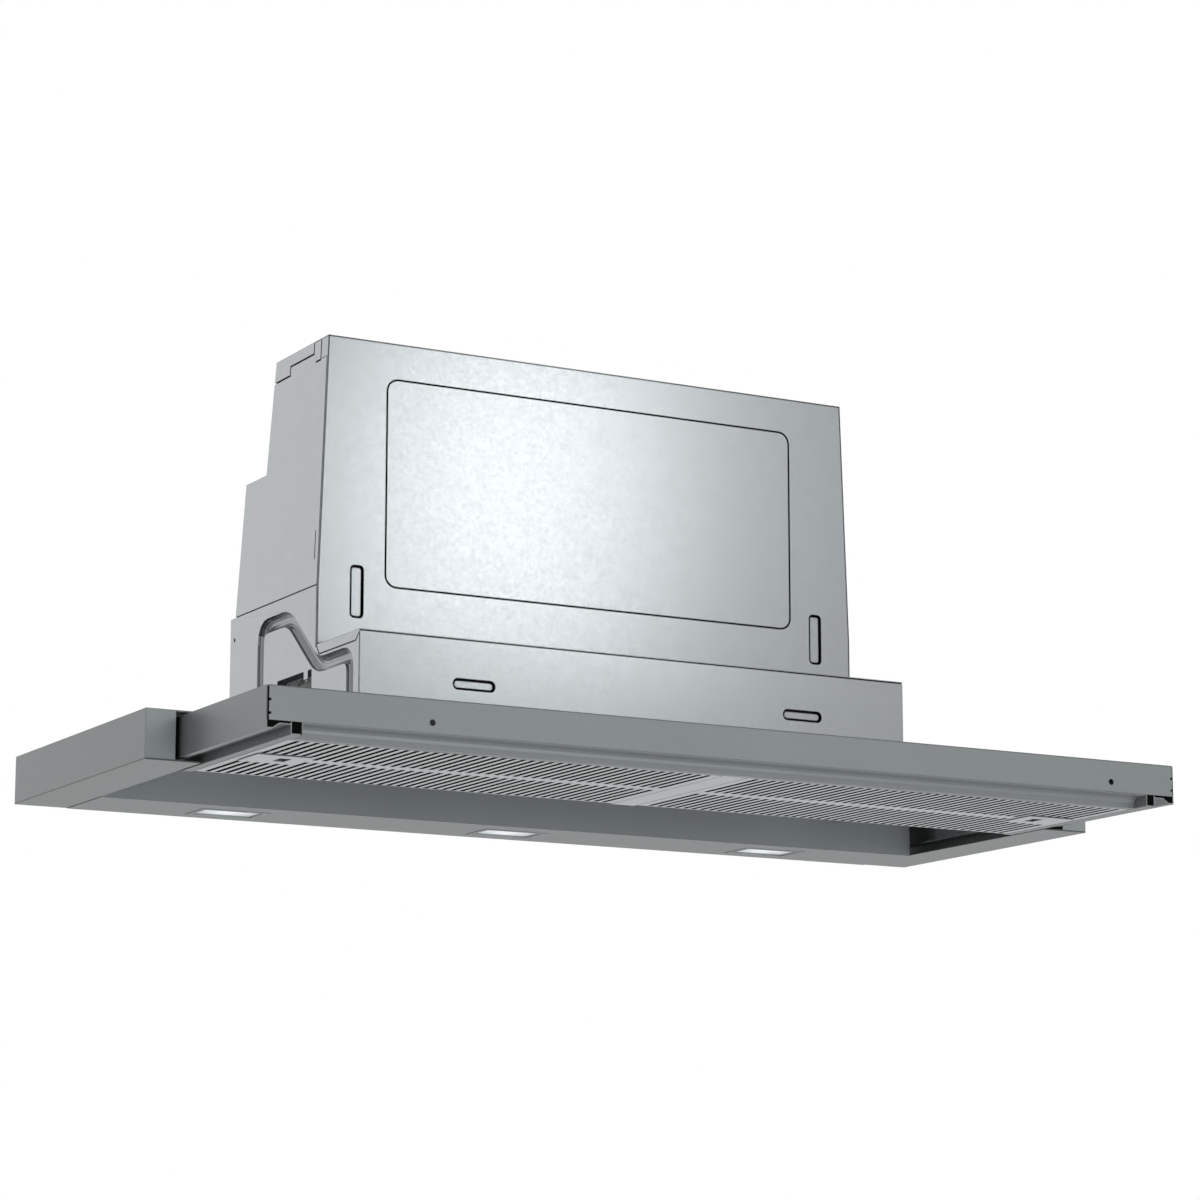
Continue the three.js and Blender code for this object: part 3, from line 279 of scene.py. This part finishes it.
def zinc_finish(name, reach, deepest, outlined=False):
    """Galvanised sheet, with painted shade in its seams and corners and along its folds and cut
    edges.
    """
    zinc = Finish(name, srgb(147, 151, 153), 0.215, 0.82)
    spangle = zinc.cells(430)
    shades = [
        (spangle, 0.1, 0.9, 0.98, 1.015),
        (zinc.noise(60, 4), 0.3, 0.7, 0.98, 1.015),
        (zinc.noise(700, 3), 0.3, 0.7, 0.965, 1.025),
        # painted shade along folds and edges, and in seams and corners
        (zinc.edge(0.0012), 0.76, 0.992, 0.14, 1.0),
        (zinc.crease_shade(reach), 0.5, 0.93, deepest, 1.0)]
    if outlined:
        # the tall front is folded over along its top and both its leaning sides, and a painted
        # shade line runs along each of these folds
        split = zinc.node("SeparateXYZ")
        zinc.link(zinc.place, split.inputs["Vector"])
        across = zinc.node("Math", operation="ABSOLUTE")
        zinc.link(split.outputs["X"], across.inputs[0])
        above_seam = zinc.node("Math", operation="MAXIMUM")
        zinc.link(split.outputs["Z"], above_seam.inputs[0])
        above_seam.inputs[1].default_value = FRONT_SEAM
        edge = zinc.node("Math", operation="MULTIPLY_ADD")
        zinc.link(above_seam.outputs["Value"], edge.inputs[0])
        edge.inputs[1].default_value = FRONT_LEAN
        zinc.link(across.outputs["Value"], edge.inputs[2])
        rim = FRONT_HALF + FRONT_LEAN * FRONT_SEAM
        side_rim = zinc.between(
            edge.outputs["Value"], rim - FRONT_SIDE_LINE[0], rim - FRONT_SIDE_LINE[1], 1, 0)
        shades += [
            (zinc.larger(side_rim, zinc.turned_away()), 0.0, 1.0, 0.2, 1.0),
            (zinc.top_rim(FRONT_TOP, FRONT_TOP_LINE), 0.0, 1.0, 0.25, 1.0)]
    zinc.tint(*shades)
    zinc.gloss(zinc.noise(300, 5, 0.75), 0.3, 0.7, 0.027)
    zinc.relief(zinc.noise(1200, 3), 0.00002, 0.3)
    return zinc


def make_finishes():
    made = {
        "zinc": zinc_finish("zinc", 0.006, 0.03),
        # the pressed sides get painted shade that reaches further and goes darker in their
        # channels
        "pressed_zinc": zinc_finish("pressed_zinc", 0.011, 0.12),
        "front_zinc": zinc_finish("front_zinc", 0.006, 0.03, outlined=True)}

    # one paint, told apart by painted light and shade: how much painted light its faces towards
    # the cook get, how dark
    # the painted shade along its lower edge and its top line is, and the range of crease over
    # which painted shade darkens it:
    # the wall with the lamps and the end caps get painted light on their faces towards the front,
    # and the drawer's recess gets less painted shade, so it stays light
    for name, forward_light, low, top, shade in (
            ("satin_paint", 1.0, 1.0, 1.0, (0.2, 0.75)),
            ("side_paint", 1.0, 0.3, 1.0, (0.2, 0.75)),
            ("cap_paint", 1.2, 0.3, 1.0, (0.2, 0.75)),
            ("lamp_wall_paint", 1.4, 1.0, 1.0, (0.2, 0.75)),
            ("drawer_front_paint", 1.0, 1.0, 0.4, (0.1, 0.45))):
        paint = Finish(
            name, srgb(119, 124, 125), 0.42, 0.3, Coat_Weight=0.1, Coat_Roughness=0.35)
        # besides the paint's own tone from the two noises: painted light on faces towards the
        # cook, and painted shade on faces towards the cook's left, along the lower edge, along
        # folds and edges, under the drawer's top and in creases
        paint.tint(
            (paint.noise(2600, 2), 0.3, 0.7, 0.9, 1.08),
            (paint.noise(9, 3), 0.3, 0.7, 0.97, 1.03),
            (paint.facing(0, -1, 0), 0.4, 0.8, 1.0, forward_light),
            (paint.facing(-1, 0, 0), 0.4, 0.8, 1.0, 0.88),
            (paint.lower_edge(DARK_EDGE_TOP), 0.0, 1.0, low, 1.0),
            (paint.edge(0.0008), 0.76, 0.99, 0.42, 1.0),
            (paint.top_rim(DRAWER_TOP, DRAWER_TOP_LINE), 0.0, 1.0, top, 1.0),
            (paint.crease_shade(0.009), *shade, 0.08, 1.0))
        paint.gloss(paint.noise(700, 3), 0.3, 0.7, 0.05)
        paint.relief(paint.noise(1800, 2), 0.00006, 0.35)
        made[name] = paint

    # the filters' pans get painted shade on the cut edges of their slots, much darker than their
    # faces, while their outer walls stay light; painted shade also darkens their creases
    for name, cut_edge_shade in (("aluminium", 0.6), ("slotted_aluminium", 0.04)):
        aluminium = Finish(name, srgb(187, 192, 194), 0.34, 0.85)
        grain = aluminium.stretched(4, 160, 160)
        outer = aluminium.rim(*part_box("filter_pan_right"), PAN_WALL)
        aluminium.tint(
            (aluminium.noise(9, 4, place=grain), 0.3, 0.7, 0.93, 1.03),
            (aluminium.noise(14, 3), 0.3, 0.7, 0.97, 1.02),
            (aluminium.larger(
                aluminium.between(aluminium.level(), 0.8, 0.96, 0, 1), outer), 0, 1, cut_edge_shade, 1),
            (aluminium.crease_shade(0.005), 0.2, 0.75, 0.08, 1.0))
        aluminium.gloss(aluminium.noise(9, 4, place=grain), 0.3, 0.7, 0.06)
        aluminium.relief(aluminium.noise(12, 3, place=grain), 0.00005, 0.3)
        made[name] = aluminium

    # the expanded mesh in the filters: painted shade makes it dark behind the slots, and it stays
    # bright where it lies open
    mesh_metal = Finish("mesh_metal", srgb(150, 153, 156), 0.5, 0.8, Specular_IOR_Level=0.2)
    mesh_metal.tint(
        (mesh_metal.crease_shade(0.045), 0.4, 0.9, 0.02, 1.0),
        (mesh_metal.noise(500, 3), 0.3, 0.7, 0.8, 1.1),
        (mesh_metal.noise(30, 2), 0.3, 0.7, 0.9, 1.05))
    mesh_metal.relief(mesh_metal.noise(900, 2), 0.0001, 0.4)
    made["mesh_metal"] = mesh_metal

    steel = Finish("steel", srgb(150, 154, 156), 0.32, 0.9)
    along = steel.stretched(160, 5, 160)
    steel.tint(
        (steel.noise(8, 4, place=along), 0.3, 0.7, 0.9, 1.04),
        (steel.cells(260), 0.1, 0.9, 0.96, 1.03))
    steel.gloss(steel.noise(40, 3), 0.3, 0.7, 0.06)
    steel.relief(steel.noise(10, 3, place=along), 0.00004, 0.3)
    made["steel"] = steel

    lens = Finish(
        "lamp_white", srgb(226, 230, 232), 0.32, 0.0, Transmission_Weight=0.25, IOR=1.45)
    lens.shader.inputs["Emission Color"].default_value = (0.93, 0.97, 1.0, 1)
    lens.tint((lens.noise(60, 2), 0.3, 0.7, 0.94, 1.0))
    # the glow is strongest over the diode in the middle of each lens
    split = lens.node("SeparateXYZ")
    lens.link(lens.place, split.inputs["Vector"])
    away = lens.node("Math", operation="PINGPONG")
    lens.link(split.outputs["X"], away.inputs[0])
    away.inputs[1].default_value = LAMP_PITCH_HALF
    glow = lens.between(away.outputs["Value"], 0.004, 0.022, 0.3, 0.12)
    lens.link(glow, lens.shader.inputs["Emission Strength"])
    prisms = lens.node("TexVoronoi", Scale=420, Randomness=0.0)
    lens.link(lens.place, prisms.inputs["Vector"])
    lens.relief(prisms.outputs["Distance"], 0.0004, 0.35)
    made["lamp_white"] = lens

    for name, colour, rough in (
            ("grey_plastic", srgb(168, 172, 174), 0.5),
            ("bezel_grey", srgb(134, 138, 139), 0.45),
            ("terminal_grey", srgb(54, 57, 59), 0.5),
            ("black_plastic", srgb(34, 36, 38), 0.52),
            ("painted_shade_black", srgb(7, 7, 8), 0.95),
            ("board_green", srgb(44, 92, 66), 0.4)):
        shine = 0.05 if name == "painted_shade_black" else 0.5
        plastic = Finish(name, colour, rough, 0.0, Specular_IOR_Level=shine)
        plastic.tint(
            (plastic.noise(18, 3), 0.3, 0.7, 0.94, 1.05),
            (plastic.noise(1500, 2), 0.3, 0.7, 0.95, 1.04))
        plastic.gloss(plastic.noise(300, 3), 0.3, 0.7, 0.06)
        plastic.relief(plastic.noise(1300, 2), 0.00008, 0.4)
        made[name] = plastic
    return made


finishes = make_finishes()

# ---------------------------------------------------------------- the CAD nodes

slots = {entry["node"]: entry["material_slot"] for entry in frame["record"]["subparts"]}

# nodes, or pairs and sets of them, whose finish differs from the plain one of their slot
own_finish = {
    "lamp_strip": "lamp_wall_paint",
    "lamp_bezel": "bezel_grey",
    "frame_side": "side_paint",
    "end_cap": "cap_paint",
    "drawer_front": "drawer_front_paint",
    "filter_pan": "slotted_aluminium",
    "tower_front": "front_zinc",
    "lower_side": "pressed_zinc",
    "terminal_block": "terminal_grey"}

EDGE_ROUNDING, WELD_DISTANCE = 0.0002, 1e-6

for name, node in nodes.items():
    look = own_finish.get(name, own_finish.get(name.rsplit("_", 1)[0], slots[name]))
    node.data.materials.clear()
    node.data.materials.append(finishes[look].material)
    if name == "drawer_front":
        # its long face comes as thin triangles, whose edges would show as lines
        weld = node.modifiers.new("weld", "WELD")
        weld.merge_threshold = WELD_DISTANCE
    flatten = node.modifiers.new("flatten", "DECIMATE")
    flatten.decimate_type = "DISSOLVE"
    flatten.angle_limit = math.radians(1)
    bevel = node.modifiers.new("edges", "BEVEL")
    bevel.limit_method = "ANGLE"
    bevel.angle_limit = math.radians(35)
    bevel.width = EDGE_ROUNDING
    bevel.segments = 2
    bevel.harden_normals = False

# ---------------------------------------------------------------- pieces made here


def piece(name, vertices, faces, slot, body, *stands_for, finish=None):
    """A mesh object of its own that rides on a body and, if nodes are named, replaces them."""
    mesh = bpy.data.meshes.new(name)
    mesh.from_pydata(vertices, [], faces)
    mesh.validate()
    tidy = bmesh.new()
    tidy.from_mesh(mesh)
    bmesh.ops.remove_doubles(tidy, verts=tidy.verts, dist=1e-7)
    bmesh.ops.recalc_face_normals(tidy, faces=tidy.faces)
    tidy.to_mesh(mesh)
    tidy.free()
    made = bpy.data.objects.new(name, mesh)
    mesh.materials.append(finishes[finish or slot].material)
    scene.collection.objects.link(made)
    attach(made, body)
    if stands_for:
        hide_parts(*stands_for)
    return made


def box_faces(first):
    """The six faces of a box whose eight corners start at an index, lower four first."""
    a = first
    return [
        (a, a + 3, a + 2, a + 1), (a + 4, a + 5, a + 6, a + 7), (a, a + 1, a + 5, a + 4),
        (a + 1, a + 2, a + 6, a + 5), (a + 2, a + 3, a + 7, a + 6), (a + 3, a, a + 4, a + 7)]


MESH_PITCH, MESH_ROW, STRAND_WIDTH, STRAND_HEIGHT = 0.011, 0.0046, 0.0009, 0.0008
# each layer's height over the floor of the pack, and the way in which its first row swings
MESH_LAYERS = ((0.0004, 1), (0.0024, -1))
MESH_BORDER, MESH_BORDER_HEIGHT = 0.003, 0.0036
# the room left round the latch, along X and along Y
LATCH_ROOM = (0.008, 0.003)


def expanded_mesh(side, body):
    """Two layers of expanded aluminium in the space of the filter's mesh pack, cut out round the
    latch."""
    node = "filter_mesh_" + side
    low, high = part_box(node)
    latch_low, latch_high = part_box("filter_latch_" + side)
    room_x, room_y = LATCH_ROOM
    row, half = MESH_ROW, STRAND_WIDTH / 2
    vertices, faces = [], []
    for height, sign in MESH_LAYERS:
        base = low.z + height
        count = int((high.y - low.y) / row)
        for j in range(count):
            y = low.y + (j + 0.5) * (high.y - low.y) / count
            steps = int((high.x - low.x) / (MESH_PITCH / 2))
            points = []
            for i in range(steps + 1):
                x = low.x + i * (high.x - low.x) / steps
                swing = sign * (row / 2 - half) * (1 if (i + j) % 2 else -1)
                points.append((x, y + swing))
            for (x0, y0), (x1, y1) in zip(points, points[1:]):
                mid_x, mid_y = (x0 + x1) / 2, (y0 + y1) / 2
                in_x = latch_low.x - room_x < mid_x < latch_high.x + room_x
                in_y = latch_low.y - room_y < mid_y < latch_high.y + room_y
                if in_x and in_y:
                    continue
                first = len(vertices)
                for z in (base, base + STRAND_HEIGHT):
                    vertices += [
                        (x0, max(y0 - half, low.y), z), (x1, max(y1 - half, low.y), z),
                        (x1, min(y1 + half, high.y), z), (x0, min(y0 + half, high.y), z)]
                faces += box_faces(first)
    # a folded border along the front and the back, which holds the layers together
    for y0, y1 in ((low.y, low.y + MESH_BORDER), (high.y - MESH_BORDER, high.y)):
        first = len(vertices)
        for z in (low.z, low.z + MESH_BORDER_HEIGHT):
            vertices += [(low.x, y0, z), (high.x, y0, z), (high.x, y1, z), (low.x, y1, z)]
        faces += box_faces(first)
    piece(
        "expanded_mesh_" + side, vertices, faces, "aluminium", body, node, finish="mesh_metal")


expanded_mesh("left", "filter_left")
expanded_mesh("right", "filter_right")


def ring_faces(rings, sides):
    """The skin of a run of rings, closed at both ends."""
    faces = []
    for i in range(rings - 1):
        for k in range(sides):
            a, b = i * sides + k, i * sides + (k + 1) % sides
            faces.append((a, b, b + sides, a + sides))
    last = (rings - 1) * sides
    return faces + [tuple(range(sides)), tuple(last + k for k in range(sides))]


def tube(name, points, radius, slot, body, sides=10):
    """A round wire along a smooth run of points, closed at both ends."""
    dense, steps = [], 6
    for i in range(len(points) - 1):
        p0 = Vector(points[max(i - 1, 0)])
        p1, p2 = Vector(points[i]), Vector(points[i + 1])
        p3 = Vector(points[min(i + 2, len(points) - 1)])
        for k in range(steps):
            t = k / steps
            dense.append(
                0.5 * ((2 * p1) + (p2 - p0) * t + (2 * p0 - 5 * p1 + 4 * p2 - p3) * t * t
                       + (3 * p1 - p0 - 3 * p2 + p3) * t ** 3))
    dense.append(Vector(points[-1]))
    vertices = []
    across = None
    for i, point in enumerate(dense):
        ahead = (dense[min(i + 1, len(dense) - 1)] - dense[max(i - 1, 0)]).normalized()
        if across is None:
            across = ahead.orthogonal().normalized()
        across = (across - ahead * across.dot(ahead)).normalized()
        up = ahead.cross(across)
        for k in range(sides):
            angle = 2 * math.pi * k / sides
            vertices.append(point + radius * (math.cos(angle) * across + math.sin(angle) * up))
    made = piece(name, vertices, ring_faces(len(dense), sides), slot, body)
    for face in made.data.polygons:
        face.use_smooth = len(face.vertices) == 4


# a pop rivet from its dimple to its rim, as (reach, height) in its radius
RIVET_PROFILE = ((0.3, 0.25), (0.34, 0.5), (0.62, 0.42), (0.9, 0.2), (1.0, 0.0), (1.0, -0.2))


def rivet(name, place, out, body, radius=0.0024, sides=16):
    """A pop rivet: a low dome with a dimple, turned about the direction that it faces."""
    out = Vector(out)
    across = out.orthogonal().normalized()
    up = out.cross(across)
    vertices = []
    for reach, height in RIVET_PROFILE:
        for k in range(sides):
            angle = 2 * math.pi * k / sides
            vertices.append(
                Vector(place) + radius * (height * out + reach * (
                    math.cos(angle) * across + math.sin(angle) * up)))
    piece(name, vertices, ring_faces(len(RIVET_PROFILE), sides), "steel", body)


# two rows of rivets along the back of the lower box
RIVET_COLUMNS = (-0.235, -0.12, 0.0, 0.12, 0.235)
back_low, back_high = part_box("lower_back")
for i, x in enumerate(RIVET_COLUMNS):
    for j, z in enumerate((back_low.z + 0.012, back_high.z - 0.014)):
        rivet("back_rivet_%d_%d" % (i, j), (x, back_high.y, z), (0, 1, 0), "hood_frame")

# the terminal block's three screws, and four wires that show in the window on the cook's left
SCREW_FIRST, SCREW_PITCH, SCREW_DROP = 0.022, 0.014, 0.0026
WIRE_FIRST, WIRE_PITCH, WIRE_RADIUS = 0.030, 0.008, 0.0009
# a wire's run from its first point, over the edge of the block's step and down to the back
WIRE_RUN = (
    (0.004, 0, 0.0012), (-0.001, 0, 0.0004), (-0.0028, 0.004, -0.004), (-0.0032, 0.010, -0.0065))
block_low, block_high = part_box("terminal_block")
ledge, top = block_low.x + 0.006, block_high.z
for i in range(3):
    y = block_low.y + SCREW_FIRST + SCREW_PITCH * i
    rivet("terminal_screw_%d" % i, (ledge, y, top - SCREW_DROP), (-1, 0, 0), "hood_frame")
for i in range(4):
    y = block_low.y + WIRE_FIRST + WIRE_PITCH * i
    run = [(ledge + dx, y + dy, top + dz) for dx, dy, dz in WIRE_RUN]
    tube("wire_%d" % i, run, WIRE_RADIUS, "grey_plastic", "hood_frame")


def shade_plug(name, outline, y0, y1):
    """A black plug that stands for the shade in the drawer's front corner: an outline in (x, z)
    run along Y.
    """
    count = len(outline)
    vertices = [(x, y, z) for y in (y0, y1) for x, z in outline]
    faces = [tuple(range(count)), tuple(range(count, 2 * count))]
    for i in range(count):
        j = (i + 1) % count
        faces.append((i, j, j + count, i + count))
    piece(name, vertices, faces, "black_plastic", "drawer", finish="painted_shade_black")


def oblong(x0, x1, z0, z1):
    """An upright rectangle as an outline in (x, z)."""
    return ((x0, z0), (x1, z0), (x1, z1), (x0, z1))


# black plugs of painted shade behind the drawer's front, where only shade falls: in the end of
# each side channel, beside the finger recess, and in the narrow gap along the front's own edge
front_low, front_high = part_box("drawer_front")
side_low, side_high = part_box("drawer_side_left")
# the outside of the drawer's left side, the inner faces of its channel, and where the
# channel's floor rises to its roof
outer = side_low.x
wall, tray = outer + 0.0012, outer + 0.0198
slope = (outer + 0.0056, outer + 0.0112)
floor_z, roof_z, high_z = 0.0056, 0.0094, side_high.z - 0.0014
# just behind the drawer's face, just behind its sheet, and the back of the plugs
face_y, sheet_y, back_y = (front_low.y + depth for depth in (0.0002, 0.0015, 0.0042))
outlines = {
    "channel": (
        (wall, floor_z), (slope[0], floor_z), (slope[1], roof_z), (tray, roof_z),
        (tray, high_z), (wall, high_z)),
    "recess": oblong(tray + 0.0014, tray + 0.0086, 0.002, high_z),
    "edge": oblong(outer + 0.0011, outer + 0.0017, 0.0108, high_z)}
for side, sign in (("left", 1), ("right", -1)):
    for kind, outline in outlines.items():
        y0, y1 = (face_y, sheet_y) if kind == "edge" else (sheet_y, back_y)
        shade_plug("%s_seal_%s" % (kind, side), [(sign * x, z) for x, z in outline], y0, y1)

# ---------------------------------------------------------------- stage


def stage_material(name, colour):
    made = Finish(name, colour, 0.9)
    made.tint((made.noise(3, 2), 0.3, 0.7, 0.985, 1.0))
    return made.material


FLOOR_HALF, FLOOR_Z = 9, -2.3

floor_mesh = bpy.data.meshes.new("floor")
floor_mesh.from_pydata(
    [(x * FLOOR_HALF, y * FLOOR_HALF, FLOOR_Z) for x, y in ((-1, -1), (1, -1), (1, 1), (-1, 1))],
    [], [(0, 1, 2, 3)])
floor = bpy.data.objects.new("floor", floor_mesh)
floor_mesh.materials.append(stage_material("floor_paper", (0.9, 0.9, 0.9)))
scene.collection.objects.link(floor)

world = bpy.data.worlds.new("studio")
scene.world = world
world.use_nodes = True
tree = world.node_tree
background = tree.nodes["Background"]
background.inputs["Color"].default_value = (1, 1, 1, 1)
path = tree.nodes.new("ShaderNodeLightPath")
seen = path.outputs["Is Camera Ray"]
for also in ("Is Transmission Ray", "Is Glossy Ray"):
    either = tree.nodes.new("ShaderNodeMath")
    either.operation = "MAXIMUM"
    tree.links.new(seen, either.inputs[0])
    tree.links.new(path.outputs[also], either.inputs[1])
    seen = either.outputs["Value"]
# the diffuse light of the room is stronger from the front and from the cook's right
ROOM_LEVEL, ROOM_LEAN = 0.6, (0.46, -0.28, 0.0)
toward = tree.nodes.new("ShaderNodeTexCoord")
lean = tree.nodes.new("ShaderNodeVectorMath")
lean.operation = "DOT_PRODUCT"
lean.inputs[1].default_value = ROOM_LEAN
tree.links.new(toward.outputs["Generated"], lean.inputs[0])
room = tree.nodes.new("ShaderNodeMath")
room.inputs[1].default_value = ROOM_LEVEL
tree.links.new(lean.outputs["Value"], room.inputs[0])
level = tree.nodes.new("ShaderNodeMapRange")
level.inputs["To Max"].default_value = 1.0
tree.links.new(room.outputs["Value"], level.inputs["To Min"])
tree.links.new(seen, level.inputs["Value"])
tree.links.new(level.outputs["Result"], background.inputs["Strength"])


def softbox(name, place, aim, size, power):
    """A rectangular lamp at a place in metres, turned to its aim; the power is in watts."""
    data = bpy.data.lights.new(name, "AREA")
    data.shape = "RECTANGLE"
    data.size, data.size_y = size
    data.energy = power
    lamp = bpy.data.objects.new(name, data)
    lamp.location = place
    lamp.rotation_mode = "QUATERNION"
    lamp.rotation_quaternion = (Vector(aim) - Vector(place)).to_track_quat("-Z", "Y")
    scene.collection.objects.link(lamp)


softbox("key", (1.34, -2.7, 0.98), (-0.1, 0, 0.25), (0.46, 0.66), 4.6)
softbox("front", (-0.9, -3.3, -0.3), (0, 0, 0.05), (1.8, 1.4), 14)
softbox("behind", (-1.8, 2.7, 0.8), (-0.2, 0, 0.2), (2.4, 2.4), 8)
softbox("under", (0.4, -1.6, -1.9), (0, 0, 0), (2.2, 2.2), 25)
